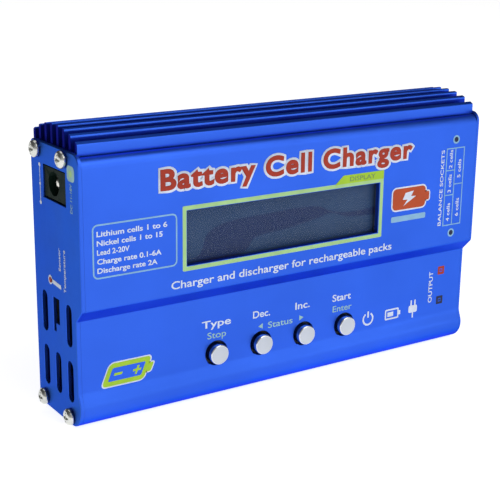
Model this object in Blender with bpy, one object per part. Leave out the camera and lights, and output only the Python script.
"""Balance battery charger in a finned, anodised aluminium case, standing on its long edge.

Frame: +Z up towards the cooling fins, -Y out of the display face, -X at the power inlet end.
The origin is under the middle of the whole charger, on the surface it stands on.
All dimensions below are in millimetres and become metres when a mesh is made.
"""
import math

import bmesh
import bpy
from mathutils import Matrix, Vector

MM = 0.001
GAP = 0.3                       # clearance kept between neighbouring pieces

# Case: the driving dimensions
LENGTH = 133.0                  # over the outer faces of the two end plates
DEPTH = 28.5                    # metal case, display face to back face
PLATE_TOP = 73.6                # top edge of the end plates
PLATE_THICK = 1.0
PLATE_CHAMFER = 0.2
PLATE_BACK_RADIUS = 1.5
EDGE_RADIUS = 1.0               # back lower edge of the case and the plates
WALL = 1.6                      # display face and its long edge
BACK_WALL = 1.8
FACE_Y = -DEPTH / 2
BACK_Y = DEPTH / 2
CASE_END = LENGTH / 2 - PLATE_THICK - GAP

# The keypad area is set back from the display area
KEYPAD_SETBACK = 3.4
KEYPAD_Y = FACE_Y + KEYPAD_SETBACK
STEP_LOW = 30.3
STEP_HIGH = STEP_LOW + KEYPAD_SETBACK
LIP_PROUD = 1.25                # rounded lip along the lower front edge
LIP_RADIUS = 5.9
LIP_BLEND = 4.6
SHOULDER_RADIUS = 2.9
SHOULDER_TOP = 72.9

# Cooling fins along the top
FIN_COUNT = 8
FIN_PITCH = 3.57
FIN_THICK = 1.2
FIN_FLOOR = 73.0
FIN_CROWN = 79.1                # height of the arch that the fin tips follow
FIN_ARCH_RADIUS = 28.0
TOP_WALL = 2.4
FIN_NOSE = 0.2                  # rounding of the fin tips
FIN_ROOT = 0.35                 # chamfer where a fin meets the floor between fins
FIN_MID_Y = BACK_Y - FIN_THICK / 2 - FIN_PITCH * (FIN_COUNT - 1) / 2
FIN_FRONT_Y = FIN_MID_Y - FIN_PITCH * (FIN_COUNT - 1) / 2 - FIN_THICK / 2

# Joint between the two case halves, and the rail that carries the main board
TONGUE_THICK = 1.2
TONGUE_REACH = 2.7
RAIL_THICK = 1.2
RAIL_RISE = 2.8

# Screws of the end plates
SCREW_Y = (-5.8, 10.4)
SCREW_Z = (2.4, 71.3)
SCREW_HOLE_R = 1.4
SCREW_SHANK_R = 1.1
SCREW_HEAD_R = 2.3
SCREW_HEAD_H = 1.5
SCREW_LENGTH = 7.0
SCREW_HOLE_DEPTH = 9.0
BOSS_HALF = 2.65
BOSS_TOP = 5.2                  # top of the lower screw bosses
BOSS_UNDER = 68.6               # underside of the upper screw bosses

# Display
WINDOW_CENTRE = (-3.75, 48.6)   # x and z
WINDOW_SIZE = (64.4, 14.9)
LCD_BEZEL_SIZE = (71.3, 26.4)
LCD_GLASS_SIZE = (69.8, 24.6)
LCD_BOARD_SIZE = (80.0, 36.0)
LCD_BEZEL_Y = (-12.35, -6.15)
LCD_GLASS_Y = (-11.55, -8.75)
LCD_FILM_Y = (-12.05, -11.85)
LCD_BOARD_Y = (-5.85, -4.25)
LCD_BEZEL_SHEET = 0.5
LCD_BEZEL_SIDE = 0.45
LCD_BEZEL_MARGIN = 0.6          # the bezel's opening is this much larger than the window
LCD_FILM_MARGIN = 0.7           # the film is this much smaller
LCD_HEADER_X = (-43.0, -2.4)
LCD_HEADER_Z = (63.2, 65.7)

# Push buttons
BUTTON_X = tuple(-24.6 + 14.82 * k for k in range(4))
BUTTON_Z = 13.4
BUTTON_HOLE_R = 3.6
BUTTON_R = 2.9
BUTTON_PROUD = 2.0
BUTTON_FLANGE_R = 4.3
BUTTON_FLANGE_THICK = 0.95
STEM_R = 1.7
SWITCH_SIZE = 6.0
SWITCH_HEIGHT = 3.5
SWITCH_WELL_R = 2.1
SWITCH_WELL = 1.9

# Boards
BOARD_THICK = 1.6
MAIN_BOARD_Y = 7.2              # component side
MAIN_BOARD_X = (-63.5, 63.5)
MAIN_BOARD_Z = (5.5, 68.3)
PARTS_Y = MAIN_BOARD_Y - GAP    # where the parts on the component side stand

# Power inlet and sensor socket, left end
JACK_OPENING_Y = (-6.7, 7.0)
JACK_OPENING_Z = (59.2, 68.0)
JACK_FIT = 0.4
JACK_FACE_X = -66.1
JACK_LENGTH = 14.0
JACK_BORE_Y = 1.0
JACK_BORE_Z = 63.7
JACK_BORE_R = 3.2
JACK_BORE_DEPTH = 9.5
JACK_PIN_R = 1.25
SENSOR_Y = (-0.55, 3.35)
SENSOR_Z = (26.2, 33.1)
SENSOR_KEY_Y = 1.7
SENSOR_KEY_Z = 23.8
SENSOR_DEPTH = 8.2
SENSOR_HALF = (3.0, 5.7)        # half size of the socket's body along Y and Z
SENSOR_WELL_HALF = (2.15, 4.8)
SENSOR_FLOOR = 1.2

# Vent slots, left end
SLOT_Y = (-6.25, 1.2, 8.65)
SLOT_Z = (12.3, 27.7)
SLOT_LENGTH = 11.4
SLOT_WIDTH = 3.5

# Balance sockets, right end: (name, pins), listed downwards
FRONT_ROW = (("balance_socket_2s", 3), ("balance_socket_3s", 4), ("balance_socket_4s", 5))
BACK_ROW = (("balance_socket_5s", 6), ("balance_socket_6s", 7))
PIN_PITCH = 2.5
PIN_SIZE = 0.64
SOCKET_MARGIN = 4.9             # a socket is this much longer than its row of pins
SOCKET_WIDTH = 5.8
SOCKET_HEIGHT = 7.0
SOCKET_WALL = 0.8
SOCKET_FLOOR = 1.3
SOCKET_KEY_WIDTH = 1.2
SOCKET_KEY_DEPTH = 3.2
SOCKET_MOUTH_X = LENGTH / 2 + 0.4
SOCKET_TOP_Z = 68.0
SOCKET_ROW_Y = (-4.2, 1.9)
BALANCE_BOARD_X = SOCKET_MOUTH_X - SOCKET_HEIGHT - GAP - BOARD_THICK
BALANCE_BOARD_Y = (-8.6, 6.6)
BALANCE_BOARD_Z = (29.4, 68.3)

# Output sockets, right end
OUTPUT_Y = 0.0
OUTPUT_Z = {"red": 24.2, "black": 14.5}
OUTPUT_BARREL_R = 3.0
OUTPUT_FLANGE_R = 4.1
OUTPUT_FLANGE = 1.2
OUTPUT_BORE_R = 2.0
OUTPUT_REACH = 13.8
OUTPUT_FLOOR = 1.2
OUTPUT_CHAMFER = 0.35
NUT_FLATS = 8.0
NUT_THICK = 2.0

# Parts on the main board, placed by (x, z)
INDUCTOR_RING_R = 5.6
INDUCTOR_WINDING_R = 3.5
INDUCTOR_PLACES = {"input_inductor": (-50.0, 44.0), "output_inductor": (45.5, 43.0)}
CAPACITOR_R = 5.0
CAPACITOR_HEIGHT = 12.0
CAPACITOR_PLACES = ((-50.0, 16.0), (34.0, 15.0), (46.0, 60.5))
BUZZER_R = 4.75
BUZZER_HEIGHT = 5.5
BUZZER_PLACE = (-38.0, 21.0)
CHIP_SIZE = (12.0, 12.0)
CHIP_HEIGHT = 1.4
CHIP_PLACE = (5.0, 42.0)
SHUNT_SIZE = (12.0, 2.5)
SHUNT_HEIGHT = 3.0
SHUNT_SHEET = 1.2
SHUNT_PLACE = (26.0, 26.25)
TRANSISTOR_SIZE = (10.0, 9.0)
TRANSISTOR_HEIGHT = 2.2
TRANSISTOR_X = (-40.0, -15.0, 10.0, 35.0)
TRANSISTOR_Z = 55.0
PAD_SIZE = (91.0, 12.0)

# Rubber feet, on the back
FOOT_HEIGHT = 3.0
FOOT_R = 4.5
FOOT_X = 55.0
FOOT_Z = (11.0, 63.0)
FOOT_RIM = 0.6
FOOT_SOLE_R = 3.5

# The middle of the metal case is behind the origin, because the feet count in the depth
CASE_MIDDLE = Vector((0.0, -FOOT_HEIGHT / 2, 0.0))


def clear_scene():
    """Removes whatever the scene holds."""
    for obj in list(bpy.data.objects):
        bpy.data.objects.remove(obj, do_unlink=True)


def material(name, colour, roughness, metallic=0.0):
    mat = bpy.data.materials.new(name)
    mat.use_nodes = True
    shader = mat.node_tree.nodes["Principled BSDF"]
    shader.inputs["Base Color"].default_value = (*colour, 1.0)
    shader.inputs["Roughness"].default_value = roughness
    shader.inputs["Metallic"].default_value = metallic
    return mat


def make_materials():
    return {
        "anodised": material("anodised_blue", (0.02, 0.10, 0.62), 0.35, 0.9),
        "steel": material("plated_steel", (0.72, 0.72, 0.70), 0.28, 1.0),
        "chrome": material("button_chrome", (0.82, 0.84, 0.86), 0.18, 1.0),
        "black": material("black_plastic", (0.02, 0.022, 0.02), 0.45),
        "white": material("white_nylon", (0.85, 0.84, 0.78), 0.5),
        "red": material("red_plastic", (0.65, 0.03, 0.02), 0.35),
        "film": material("clear_film", (0.45, 0.5, 0.6), 0.1),
        "glass": material("lcd_glass", (0.05, 0.07, 0.12), 0.12),
        "board": material("circuit_board", (0.02, 0.22, 0.08), 0.5),
        "copper": material("copper_winding", (0.65, 0.28, 0.10), 0.35, 0.9),
        "sleeve": material("capacitor_sleeve", (0.03, 0.05, 0.16), 0.35),
        "rubber": material("rubber", (0.03, 0.03, 0.03), 0.8),
        "pad": material("thermal_pad", (0.55, 0.6, 0.65), 0.7),
    }


# Outlines: lists of (y, z) points in millimetres

def arc(centre, radius, start, end, steps):
    """Points on a circle from one angle to another, in degrees."""
    points = []
    for i in range(steps + 1):
        angle = math.radians(start + (end - start) * i / steps)
        points.append((centre[0] + radius * math.cos(angle), centre[1] + radius * math.sin(angle)))
    return points


def smooth_blend(start, end, steps):
    """An S-curve between two points, level with Z at both ends."""
    points = []
    for i in range(1, steps + 1):
        t = i / steps
        ease = t * t * (3 - 2 * t)
        points.append((start[0] + (end[0] - start[0]) * ease, start[1] + (end[1] - start[1]) * t))
    return points


def face_outline(shoulder_top):
    """The case's outside, from under the lower lip up the face and over the top shoulder."""
    lip_y = KEYPAD_Y - LIP_PROUD
    lip_centre = (lip_y + LIP_RADIUS, LIP_RADIUS)
    shoulder = (FACE_Y + SHOULDER_RADIUS, shoulder_top - SHOULDER_RADIUS)
    points = arc(lip_centre, LIP_RADIUS, 270, 180, 12)
    points += smooth_blend((lip_y, LIP_RADIUS), (KEYPAD_Y, LIP_RADIUS + LIP_BLEND), 8)
    points += [(KEYPAD_Y, STEP_LOW - 0.5), (KEYPAD_Y - 0.12, STEP_LOW - 0.1)]
    points += [(FACE_Y + 0.35, STEP_HIGH - 0.45), (FACE_Y + 0.06, STEP_HIGH), (FACE_Y, STEP_HIGH + 0.5)]
    points += arc(shoulder, SHOULDER_RADIUS, 180, 90, 9)
    return points


def front_case_outline():
    """Display face, keypad face and lower wall in one extrusion, open towards the back."""
    top_edge_y = FIN_FRONT_Y - GAP
    outside = [(y, z) for y, z in face_outline(SHOULDER_TOP) if z < STEP_HIGH or y < top_edge_y]
    tongue_top = FIN_FLOOR - TOP_WALL - GAP
    tongue_under = tongue_top - TONGUE_THICK
    inner_face = FACE_Y + WALL
    inner_keypad = KEYPAD_Y + WALL
    front_boss_end = SCREW_Y[0] + BOSS_HALF
    back_boss_start = SCREW_Y[1] - BOSS_HALF
    rail_back = MAIN_BOARD_Y - GAP
    inside = [
        (top_edge_y, SHOULDER_TOP - 0.16),
        (top_edge_y, tongue_top),
        (top_edge_y + TONGUE_REACH, tongue_top),
        (top_edge_y + TONGUE_REACH, tongue_under),
        (inner_face, tongue_under),
        (inner_face, STEP_HIGH + 0.6),
        (inner_keypad, STEP_LOW + 0.6),
        (inner_keypad, BOSS_TOP),
        (front_boss_end, BOSS_TOP),
        (front_boss_end, WALL),
        (rail_back - RAIL_THICK, WALL),
        (rail_back - RAIL_THICK, BOSS_TOP + RAIL_RISE),
        (rail_back, BOSS_TOP + RAIL_RISE),
        (rail_back, WALL),
        (back_boss_start, WALL),
        (back_boss_start, BOSS_TOP),
        (BACK_Y, BOSS_TOP),
    ]
    return outside + inside + arc((BACK_Y - EDGE_RADIUS, EDGE_RADIUS), EDGE_RADIUS, 0, -90, 4)


def fin_tip_height(y):
    """Height of the arch that the fin tips follow, above a point at y."""
    return FIN_CROWN - FIN_ARCH_RADIUS + math.sqrt(FIN_ARCH_RADIUS ** 2 - (y - FIN_MID_Y) ** 2)


def fin_outline(middle):
    """One fin's outside, from its back root over the rounded tip to its front root."""
    half = FIN_THICK / 2
    corner = 0.3 * FIN_NOSE
    points = []
    for side in (1, -1):
        edge = middle + side * half
        inner = middle + side * (half - FIN_NOSE)
        height = fin_tip_height(edge)
        tip = [(edge, height - FIN_NOSE), (edge - side * corner, height - corner),
               (inner, fin_tip_height(inner))]
        points += tip if side == 1 else tip[::-1]
    return points


def heatsink_outline():
    """Back wall and finned top wall in one extrusion."""
    under = FIN_FLOOR - TOP_WALL
    inner_back = BACK_Y - BACK_WALL
    points = [(inner_back, BOSS_TOP + GAP), (BACK_Y, BOSS_TOP + GAP)]
    for k in reversed(range(FIN_COUNT)):
        middle = FIN_MID_Y + FIN_PITCH * (k - (FIN_COUNT - 1) / 2)
        back, front = middle + FIN_THICK / 2, middle - FIN_THICK / 2
        if k < FIN_COUNT - 1:
            points += [(back + FIN_ROOT, FIN_FLOOR), (back, FIN_FLOOR + FIN_ROOT)]
        points += fin_outline(middle)
        if k > 0:
            points += [(front, FIN_FLOOR + FIN_ROOT), (front - FIN_ROOT, FIN_FLOOR)]
    points += [(FIN_FRONT_Y, under)]
    points += [(SCREW_Y[0] - BOSS_HALF, under), (SCREW_Y[0] - BOSS_HALF, BOSS_UNDER)]
    points += [(SCREW_Y[0] + BOSS_HALF, BOSS_UNDER), (SCREW_Y[0] + BOSS_HALF, under)]
    points += [(SCREW_Y[1] - BOSS_HALF, under), (SCREW_Y[1] - BOSS_HALF, BOSS_UNDER)]
    points += [(inner_back, BOSS_UNDER)]
    return points


def plate_outline():
    """An end plate's outside: the case's face, with a straight top and back."""
    points = face_outline(PLATE_TOP)
    top_corner = (BACK_Y - PLATE_BACK_RADIUS, PLATE_TOP - PLATE_BACK_RADIUS)
    points += arc(top_corner, PLATE_BACK_RADIUS, 90, 0, 4)
    points += arc((BACK_Y - EDGE_RADIUS, EDGE_RADIUS), EDGE_RADIUS, 0, -90, 4)
    return points


def shrink(points, amount):
    """The outline moved inwards by a small amount, along each corner's bisector."""
    result = []
    for i, point in enumerate(points):
        before = Vector(point) - Vector(points[i - 1])
        after = Vector(points[(i + 1) % len(points)]) - Vector(point)
        normal = Vector((before.y, -before.x)).normalized() + Vector((after.y, -after.x)).normalized()
        inward = normal.normalized() * amount / max(0.5, normal.length / 2)
        result.append((point[0] + inward.x, point[1] + inward.y))
    return result


# Mesh builders: every one returns a closed bmesh in millimetres

def outward(mesh):
    """Turns every face of a closed mesh to point out."""
    bmesh.ops.recalc_face_normals(mesh, faces=mesh.faces)
    if mesh.calc_volume(signed=True) < 0:
        bmesh.ops.reverse_faces(mesh, faces=mesh.faces)
    return mesh


def loft(rings):
    """Joins rings of points, each with the same number of corners, into one closed skin."""
    mesh = bmesh.new()
    loops = [[mesh.verts.new(point) for point in ring] for ring in rings]
    for lower, upper in zip(loops, loops[1:]):
        for i in range(len(lower)):
            j = (i + 1) % len(lower)
            mesh.faces.new((lower[i], lower[j], upper[j], upper[i]))
    mesh.faces.new(loops[0][::-1])
    mesh.faces.new(loops[-1])
    return outward(mesh)


def prism(outline, start, end):
    """A (y, z) outline extruded along X."""
    return loft([[(x, y, z) for y, z in outline] for x in (start, end)])


def block(low, high):
    """A box between two corners."""
    mesh = bmesh.new()
    bmesh.ops.create_cube(mesh, size=1.0)
    size = Vector(high) - Vector(low)
    middle = (Vector(high) + Vector(low)) / 2
    placed = Matrix.Translation(middle) @ Matrix.Diagonal((*size, 1.0))
    bmesh.ops.transform(mesh, matrix=placed, verts=mesh.verts)
    return mesh


def flat_block(size, centre, depth):
    """A flat box facing -Y: its size and centre along X and Z, and its two Y faces."""
    return block((centre[0] - size[0] / 2, depth[0], centre[1] - size[1] / 2),
                 (centre[0] + size[0] / 2, depth[1], centre[1] + size[1] / 2))


def turned(profile, axis, steps=24):
    """A profile of (radius, height) points turned about X or Y, with flat ends."""
    rings = []
    for radius, height in profile:
        ring = []
        for i in range(steps):
            angle = 2 * math.pi * (i + 0.5) / steps
            across, up = radius * math.cos(angle), radius * math.sin(angle)
            ring.append((height, across, up) if axis == "X" else (across, height, up))
        rings.append(ring)
    return loft(rings)


def moved(mesh, offset):
    """Shifts a bmesh and returns it."""
    bmesh.ops.translate(mesh, vec=Vector(offset), verts=mesh.verts)
    return mesh


def stadium(centre, length, width, start, end):
    """A slot-shaped cutter along X, its long side along Z."""
    half = (length - width) / 2
    outline = arc((centre[0], centre[1] + half), width / 2, 0, 180, 8)
    outline += arc((centre[0], centre[1] - half), width / 2, 180, 360, 8)
    return prism(outline, start, end)


def as_mesh(mesh, name):
    """Turns a bmesh in millimetres into mesh data in metres."""
    data = bpy.data.meshes.new(name)
    bmesh.ops.scale(mesh, vec=(MM, MM, MM), verts=mesh.verts)
    mesh.to_mesh(data)
    mesh.free()
    return data


def combine(base, others, operation):
    """Cuts or joins closed meshes with an exact Boolean and returns the result as a bmesh."""
    scene = bpy.context.scene.collection
    target = bpy.data.objects.new("boolean_base", as_mesh(base, "boolean_base"))
    scene.objects.link(target)
    tools = []
    for number, other in enumerate(others):
        tool = bpy.data.objects.new(f"tool_{number}", as_mesh(other, f"tool_{number}"))
        scene.objects.link(tool)
        modifier = target.modifiers.new(tool.name, "BOOLEAN")
        modifier.operation = operation
        modifier.object = tool
        tools.append(tool)
    bpy.context.view_layer.update()
    result = bmesh.new()
    result.from_mesh(target.evaluated_get(bpy.context.evaluated_depsgraph_get()).to_mesh())
    bmesh.ops.scale(result, vec=(1 / MM,) * 3, verts=result.verts)
    for obj in [target] + tools:
        bpy.data.objects.remove(obj, do_unlink=True)
    return result


def cut(base, *cutters):
    return combine(base, cutters, "DIFFERENCE")


def fused(base, *others):
    return combine(base, others, "UNION")


class Assembly:
    """Places finished pieces under one empty, at the middle of the metal case."""

    def __init__(self):
        self.materials = make_materials()
        self.frame = bpy.data.objects.new("charger_frame", None)
        self.frame.location = CASE_MIDDLE * MM
        bpy.context.scene.collection.objects.link(self.frame)

    def place(self, name, shape, finish, location=(0.0, 0.0, 0.0)):
        """Adds one piece. A bmesh makes a new mesh, and a mesh is shared with its other copies."""
        data = shape if isinstance(shape, bpy.types.Mesh) else as_mesh(shape, name)
        if not data.materials:
            data.materials.append(self.materials[finish])
            data.shade_smooth()
            data.set_sharp_from_angle(angle=math.radians(30))
        obj = bpy.data.objects.new(name, data)
        obj.parent = self.frame
        obj.location = Vector(location) * MM
        bpy.context.scene.collection.objects.link(obj)
        return obj


def screw_holes(sign, start, end, heights):
    """Cutters for the end plate screws at one end; start and end are distances from the middle."""
    profile = [(SCREW_HOLE_R, sign * start), (SCREW_HOLE_R, sign * end)]
    return [moved(turned(profile, "X", 12), (0, y, z)) for y in SCREW_Y for z in heights]


def make_case(charger):
    """The two extrusions, with the display window, the button holes and the screw holes."""
    near, far = CASE_END - SCREW_HOLE_DEPTH, CASE_END + 1
    window = flat_block(WINDOW_SIZE, WINDOW_CENTRE, (FACE_Y - 1, FACE_Y + WALL + 1))
    hole = [(BUTTON_HOLE_R, KEYPAD_Y - 1), (BUTTON_HOLE_R, KEYPAD_Y + WALL + 1)]
    button_holes = [moved(turned(hole, "Y", 24), (x, 0, BUTTON_Z)) for x in BUTTON_X]
    lower = [hole for sign in (-1, 1) for hole in screw_holes(sign, near, far, SCREW_Z[:1])]
    upper = [hole for sign in (-1, 1) for hole in screw_holes(sign, near, far, SCREW_Z[1:])]
    front = prism(front_case_outline(), -CASE_END, CASE_END)
    charger.place("front_case", cut(front, window, *button_holes, *lower), "anodised")
    heatsink = prism(heatsink_outline(), -CASE_END, CASE_END)
    charger.place("heatsink_case", cut(heatsink, *upper), "anodised")


def plate(sign):
    """An end plate with a small chamfer round its outer face."""
    outline = plate_outline()
    levels = ((LENGTH / 2 - PLATE_THICK, outline), (LENGTH / 2 - PLATE_CHAMFER, outline),
              (LENGTH / 2, shrink(outline, PLATE_CHAMFER)))
    return loft([[(sign * x, y, z) for y, z in ring] for x, ring in levels])


def socket_length(pins):
    """Length of a balance socket along its row of pins."""
    return PIN_PITCH * (pins - 1) + SOCKET_MARGIN


def make_end_plates(charger):
    """The left plate has the inlet, the sensor port and the vents; the right one has the sockets."""
    low, high = LENGTH / 2 - PLATE_THICK - 1, LENGTH / 2 + 1
    jack = block((-high, JACK_OPENING_Y[0], JACK_OPENING_Z[0]), (-low, JACK_OPENING_Y[1], JACK_OPENING_Z[1]))
    port = prism([(SENSOR_Y[0], SENSOR_Z[0]), (SENSOR_Y[0], SENSOR_Z[1]), (SENSOR_Y[1], SENSOR_Z[1]),
                  (SENSOR_Y[1], SENSOR_KEY_Z), (SENSOR_KEY_Y, SENSOR_KEY_Z), (SENSOR_KEY_Y, SENSOR_Z[0])],
                 -high, -low)
    slots = [stadium((y, z), SLOT_LENGTH, SLOT_WIDTH, -high, -low)
             for y in SLOT_Y for z in SLOT_Z if (y, z) != (SLOT_Y[1], SLOT_Z[1])]
    left = cut(plate(-1), jack, port, *slots, *screw_holes(-1, low, high, SCREW_Z))
    charger.place("left_end_plate", left, "anodised")

    row_length = sum(socket_length(pins) for _, pins in BACK_ROW) + GAP
    sockets = block((low, SOCKET_ROW_Y[0] - SOCKET_WIDTH / 2 - GAP, SOCKET_TOP_Z - row_length - GAP),
                    (high, SOCKET_ROW_Y[1] + SOCKET_WIDTH / 2 + GAP, SOCKET_TOP_Z + GAP))
    hole = [(OUTPUT_BARREL_R + GAP, low), (OUTPUT_BARREL_R + GAP, high)]
    outputs = [moved(turned(hole, "X", 24), (0, OUTPUT_Y, z)) for z in OUTPUT_Z.values()]
    right = cut(plate(1), sockets, *outputs, *screw_holes(1, low, high, SCREW_Z))
    charger.place("right_end_plate", right, "anodised")


def screw_mesh():
    """A pan head screw with a cross recess; its head sits at x = 0 and its shank points to +X."""
    dome = [(SCREW_SHANK_R * 0.5, SCREW_LENGTH), (SCREW_SHANK_R, SCREW_LENGTH - 0.7), (SCREW_SHANK_R, 0.0),
            (SCREW_HEAD_R, 0.0), (SCREW_HEAD_R, -0.45), (SCREW_HEAD_R * 0.93, -0.85),
            (SCREW_HEAD_R * 0.74, -1.22), (SCREW_HEAD_R * 0.45, -1.42), (SCREW_HEAD_R * 0.12, -SCREW_HEAD_H)]
    body = turned(dome, "X", 20)
    arm, half, depth = 1.35, 0.27, 0.85
    cross = [block((-SCREW_HEAD_H - 1, -y, -z), (-SCREW_HEAD_H + depth, y, z))
             for y, z in ((arm, half), (half, arm))]
    return as_mesh(cut(body, *cross), "end_screw")


def make_screws(charger):
    """Four screws through each end plate."""
    mesh = screw_mesh()
    for end, sign in (("left", -1), ("right", 1)):
        for z, level in zip(SCREW_Z, ("lower", "upper")):
            for y, side in zip(SCREW_Y, ("front", "rear")):
                name = f"{end}_screw_{level}_{side}"
                obj = charger.place(name, mesh, "steel", (sign * (LENGTH / 2 + GAP), y, z))
                obj.rotation_euler.z = math.pi if sign > 0 else 0.0


def make_display(charger):
    """The display module behind the window: bezel, glass, board, and its header on the main board."""
    front, rear = LCD_BEZEL_Y
    shell = flat_block(LCD_BEZEL_SIZE, WINDOW_CENTRE, LCD_BEZEL_Y)
    hollow = [side - 2 * LCD_BEZEL_SIDE for side in LCD_BEZEL_SIZE]
    inside = flat_block(hollow, WINDOW_CENTRE, (front + LCD_BEZEL_SHEET, rear + 1))
    view = [side + LCD_BEZEL_MARGIN for side in WINDOW_SIZE]
    opening = flat_block(view, WINDOW_CENTRE, (front - 1, front + LCD_BEZEL_SHEET + 1))
    charger.place("lcd_bezel", cut(shell, inside, opening), "steel")
    charger.place("lcd_glass", flat_block(LCD_GLASS_SIZE, WINDOW_CENTRE, LCD_GLASS_Y), "glass")
    film = [side - LCD_FILM_MARGIN for side in WINDOW_SIZE]
    charger.place("display_film", flat_block(film, WINDOW_CENTRE, LCD_FILM_Y), "film")
    charger.place("lcd_board", flat_block(LCD_BOARD_SIZE, WINDOW_CENTRE, LCD_BOARD_Y), "board")
    header = block((LCD_HEADER_X[0], LCD_BOARD_Y[1] + GAP, LCD_HEADER_Z[0]),
                   (LCD_HEADER_X[1], PARTS_Y, LCD_HEADER_Z[1]))
    charger.place("lcd_header", header, "black")


def button_mesh():
    """A button cap about its own axis: rounded front rim, and a flange that keeps it in the case."""
    flange_front = WALL + GAP
    flange_back = flange_front + BUTTON_FLANGE_THICK
    profile = [(BUTTON_R - 0.5, -BUTTON_PROUD), (BUTTON_R - 0.18, -BUTTON_PROUD + 0.08),
               (BUTTON_R, -BUTTON_PROUD + 0.4), (BUTTON_R, flange_front), (BUTTON_FLANGE_R, flange_front),
               (BUTTON_FLANGE_R, flange_back), (BUTTON_FLANGE_R - 0.4, flange_back)]
    return as_mesh(turned(profile, "Y", 32), "button_cap")


def make_buttons(charger):
    """Each button with the tactile switch behind it; the stem is what the cap presses on."""
    cap = button_mesh()
    cap_back = KEYPAD_Y + WALL + GAP + BUTTON_FLANGE_THICK
    switch_front = PARTS_Y - SWITCH_HEIGHT
    stem_profile = [(STEM_R, cap_back + GAP), (STEM_R, switch_front + 1.0)]
    stem = as_mesh(turned([(r, y - KEYPAD_Y) for r, y in stem_profile], "Y", 16), "switch_stem")
    half = SWITCH_SIZE / 2
    body = block((-half, switch_front, -half), (half, PARTS_Y, half))
    well = turned([(SWITCH_WELL_R, switch_front - 1), (SWITCH_WELL_R, switch_front + SWITCH_WELL)], "Y", 16)
    switch = as_mesh(cut(body, well), "switch_body")
    for number, x in enumerate(BUTTON_X, start=1):
        charger.place(f"button_{number}", cap, "chrome", (x, KEYPAD_Y, BUTTON_Z))
        charger.place(f"switch_stem_{number}", stem, "black", (x, KEYPAD_Y, BUTTON_Z))
        charger.place(f"switch_body_{number}", switch, "black", (x, 0, BUTTON_Z))


def make_inlet(charger):
    """Barrel jack: a block with a round bore and a centre pin."""
    y_low, y_high = JACK_OPENING_Y[0] + JACK_FIT, JACK_OPENING_Y[1] - JACK_FIT
    z_low, z_high = JACK_OPENING_Z[0] + JACK_FIT, JACK_OPENING_Z[1] - JACK_FIT
    body = block((JACK_FACE_X, y_low, z_low), (JACK_FACE_X + JACK_LENGTH, y_high, z_high))
    bore_end = JACK_FACE_X + JACK_BORE_DEPTH
    bore = turned([(JACK_BORE_R, JACK_FACE_X - 1), (JACK_BORE_R, bore_end)], "X", 24)
    pin = turned([(JACK_PIN_R * 0.6, JACK_FACE_X + 1.0), (JACK_PIN_R, JACK_FACE_X + 1.8),
                  (JACK_PIN_R, bore_end + 1)], "X", 16)
    place = (0, JACK_BORE_Y, JACK_BORE_Z)
    charger.place("dc_input_jack", fused(cut(body, moved(bore, place)), moved(pin, place)), "black")


def pin_row(count, centre, x_range):
    """Square contact pins in a row along Z."""
    half = PIN_SIZE / 2
    pins = []
    for i in range(count):
        z = centre[1] + PIN_PITCH * (i - (count - 1) / 2)
        pins.append(block((x_range[0], centre[0] - half, z - half), (x_range[1], centre[0] + half, z + half)))
    return pins


def make_sensor_socket(charger):
    """Three-pin socket behind the keyed opening of the left end plate."""
    face = -CASE_END
    middle = ((SENSOR_Y[0] + SENSOR_Y[1]) / 2, (SENSOR_KEY_Z + SENSOR_Z[1]) / 2)
    half_y, half_z = SENSOR_HALF
    well_y, well_z = SENSOR_WELL_HALF
    body = block((face, middle[0] - half_y, middle[1] - half_z),
                 (face + SENSOR_DEPTH, middle[0] + half_y, middle[1] + half_z))
    well = block((face - 1, middle[0] - well_y, middle[1] - well_z),
                 (face + SENSOR_DEPTH - SENSOR_FLOOR, middle[0] + well_y, middle[1] + well_z))
    pins = pin_row(3, middle, (face + 2.0, face + SENSOR_DEPTH - 0.6))
    charger.place("sensor_socket", fused(cut(body, well), *pins), "black")


def balance_socket(pins, centre):
    """A shrouded pin header that opens towards +X, with two keyways in its outer long side."""
    foot, mouth = SOCKET_MOUTH_X - SOCKET_HEIGHT, SOCKET_MOUTH_X
    y, z = centre
    half_y, half_z = SOCKET_WIDTH / 2, socket_length(pins) / 2
    body = block((foot, y - half_y, z - half_z), (mouth, y + half_y, z + half_z))
    well = block((foot + SOCKET_FLOOR, y - half_y + SOCKET_WALL, z - half_z + SOCKET_WALL),
                 (mouth + 1, y + half_y - SOCKET_WALL, z + half_z - SOCKET_WALL))
    half_key = SOCKET_KEY_WIDTH / 2
    key_offset = PIN_PITCH * (pins - 1) / 2 - half_key
    keys = [block((mouth - SOCKET_KEY_DEPTH, y - half_y - 1, z + side * key_offset - half_key),
                  (mouth + 1, y - half_y + SOCKET_WALL + 0.2, z + side * key_offset + half_key))
            for side in (-1, 1)]
    return fused(cut(body, well, *keys), *pin_row(pins, centre, (foot + 0.8, mouth - 1.6)))


def make_balance_sockets(charger):
    """Two rows of sockets of the same overall height, on a small board of their own."""
    row_height = sum(socket_length(pins) for _, pins in BACK_ROW) + GAP
    for row, y in zip((FRONT_ROW, BACK_ROW), SOCKET_ROW_Y):
        gap = (row_height - sum(socket_length(pins) for _, pins in row)) / (len(row) - 1)
        top = SOCKET_TOP_Z
        for name, pins in row:
            charger.place(name, balance_socket(pins, (y, top - socket_length(pins) / 2)), "white")
            top -= socket_length(pins) + gap
    board = block((BALANCE_BOARD_X, BALANCE_BOARD_Y[0], BALANCE_BOARD_Z[0]),
                  (BALANCE_BOARD_X + BOARD_THICK, BALANCE_BOARD_Y[1], BALANCE_BOARD_Z[1]))
    charger.place("balance_board", board, "board")


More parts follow.
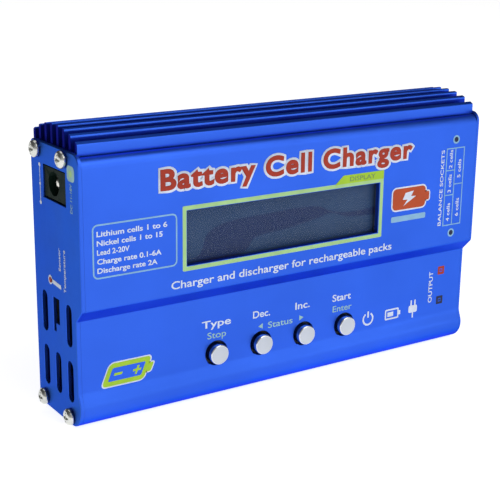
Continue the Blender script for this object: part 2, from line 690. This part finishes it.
def make_output_sockets(charger):
    """Insulated 4 mm sockets that go through the right end plate, each held by a nut behind it."""
    seat = LENGTH / 2 + GAP
    mouth = seat + OUTPUT_FLANGE
    rear = seat - OUTPUT_REACH
    profile = [(OUTPUT_BARREL_R, rear), (OUTPUT_BARREL_R, seat),
               (OUTPUT_FLANGE_R, seat), (OUTPUT_FLANGE_R, mouth - OUTPUT_CHAMFER),
               (OUTPUT_FLANGE_R - OUTPUT_CHAMFER, mouth), (OUTPUT_BORE_R, mouth),
               (OUTPUT_BORE_R, rear + OUTPUT_FLOOR)]
    nut_back = CASE_END - NUT_THICK
    hexagon = arc((0, 0), NUT_FLATS / math.sqrt(3), 0, 300, 5)
    bore = turned([(OUTPUT_BARREL_R + GAP, nut_back - 1), (OUTPUT_BARREL_R + GAP, CASE_END + 1)], "X", 24)
    nut = as_mesh(cut(prism(hexagon, nut_back, CASE_END), bore), "output_nut")
    for colour, z in OUTPUT_Z.items():
        charger.place(f"output_socket_{colour}", turned(profile, "X", 28), colour, (0, OUTPUT_Y, z))
        charger.place(f"output_nut_{colour}", nut, "steel", (0, OUTPUT_Y, z))


def standing_can(radius, height, rim=0.4):
    """A round component standing on the main board's component side."""
    top = PARTS_Y - height
    profile = [(radius - rim, top), (radius, top + rim), (radius, PARTS_Y)]
    return turned(profile, "Y", 24)


def toroid(major, minor, steps=28, section=12):
    """A wound ring lying on the main board."""
    mesh = bmesh.new()
    rings = []
    for i in range(steps):
        turn = 2 * math.pi * i / steps
        ring = []
        for across, up in arc((major, PARTS_Y - minor), minor, 0, 360, section)[:-1]:
            ring.append(mesh.verts.new((across * math.cos(turn), up, across * math.sin(turn))))
        rings.append(ring)
    for i in range(steps):
        here, there = rings[i], rings[(i + 1) % steps]
        for j in range(section):
            k = (j + 1) % section
            mesh.faces.new((here[j], here[k], there[k], there[j]))
    return outward(mesh)


def make_boards(charger):
    """The main board and the large parts on its component side."""
    main = block((MAIN_BOARD_X[0], MAIN_BOARD_Y, MAIN_BOARD_Z[0]),
                 (MAIN_BOARD_X[1], MAIN_BOARD_Y + BOARD_THICK, MAIN_BOARD_Z[1]))
    charger.place("main_board", main, "board")
    ring = as_mesh(toroid(INDUCTOR_RING_R, INDUCTOR_WINDING_R), "inductor")
    for name, (x, z) in INDUCTOR_PLACES.items():
        charger.place(name, ring, "copper", (x, 0, z))
    can = as_mesh(standing_can(CAPACITOR_R, CAPACITOR_HEIGHT), "capacitor")
    for number, (x, z) in enumerate(CAPACITOR_PLACES, start=1):
        charger.place(f"capacitor_{number}", can, "sleeve", (x, 0, z))
    chip = flat_block(CHIP_SIZE, CHIP_PLACE, (PARTS_Y - CHIP_HEIGHT, PARTS_Y))
    charger.place("microcontroller", chip, "black")
    buzzer = standing_can(BUZZER_R, BUZZER_HEIGHT)
    charger.place("buzzer", buzzer, "black", (BUZZER_PLACE[0], 0, BUZZER_PLACE[1]))
    strap = flat_block(SHUNT_SIZE, SHUNT_PLACE, (PARTS_Y - SHUNT_HEIGHT, PARTS_Y))
    under = (SHUNT_SIZE[0] - 2 * SHUNT_SHEET, SHUNT_SIZE[1] + 2)
    arch = flat_block(under, SHUNT_PLACE, (PARTS_Y - SHUNT_HEIGHT + SHUNT_SHEET, PARTS_Y + 1))
    charger.place("current_shunt", cut(strap, arch), "copper")


def make_power_stage(charger):
    """Transistors on the back of the main board, pressed on a pad against the finned extrusion."""
    near = MAIN_BOARD_Y + BOARD_THICK + GAP
    far = near + TRANSISTOR_HEIGHT
    for number, x in enumerate(TRANSISTOR_X, start=1):
        body = flat_block(TRANSISTOR_SIZE, (x, TRANSISTOR_Z), (near, far))
        charger.place(f"power_transistor_{number}", body, "black")
    middle = sum(TRANSISTOR_X) / len(TRANSISTOR_X)
    pad = flat_block(PAD_SIZE, (middle, TRANSISTOR_Z), (far + GAP, BACK_Y - BACK_WALL - GAP))
    charger.place("thermal_pad", pad, "pad")


def make_feet(charger):
    """Four stick-on feet, with a rounded rim round a flat sole."""
    seat, sole = BACK_Y + GAP, BACK_Y + FOOT_HEIGHT
    profile = [(FOOT_R, seat), (FOOT_R, seat + FOOT_RIM),
               (FOOT_R - FOOT_RIM, sole - 0.4), (FOOT_SOLE_R, sole)]
    foot = as_mesh(turned(profile, "Y", 24), "rubber_foot")
    for side, x in (("left", -FOOT_X), ("right", FOOT_X)):
        for level, z in zip(("lower", "upper"), FOOT_Z):
            charger.place(f"foot_{level}_{side}", foot, "rubber", (x, 0, z))


def main():
    clear_scene()
    charger = Assembly()
    make_case(charger)
    make_end_plates(charger)
    make_screws(charger)
    make_display(charger)
    make_buttons(charger)
    make_inlet(charger)
    make_sensor_socket(charger)
    make_balance_sockets(charger)
    make_output_sockets(charger)
    make_boards(charger)
    make_power_stage(charger)
    make_feet(charger)


main()
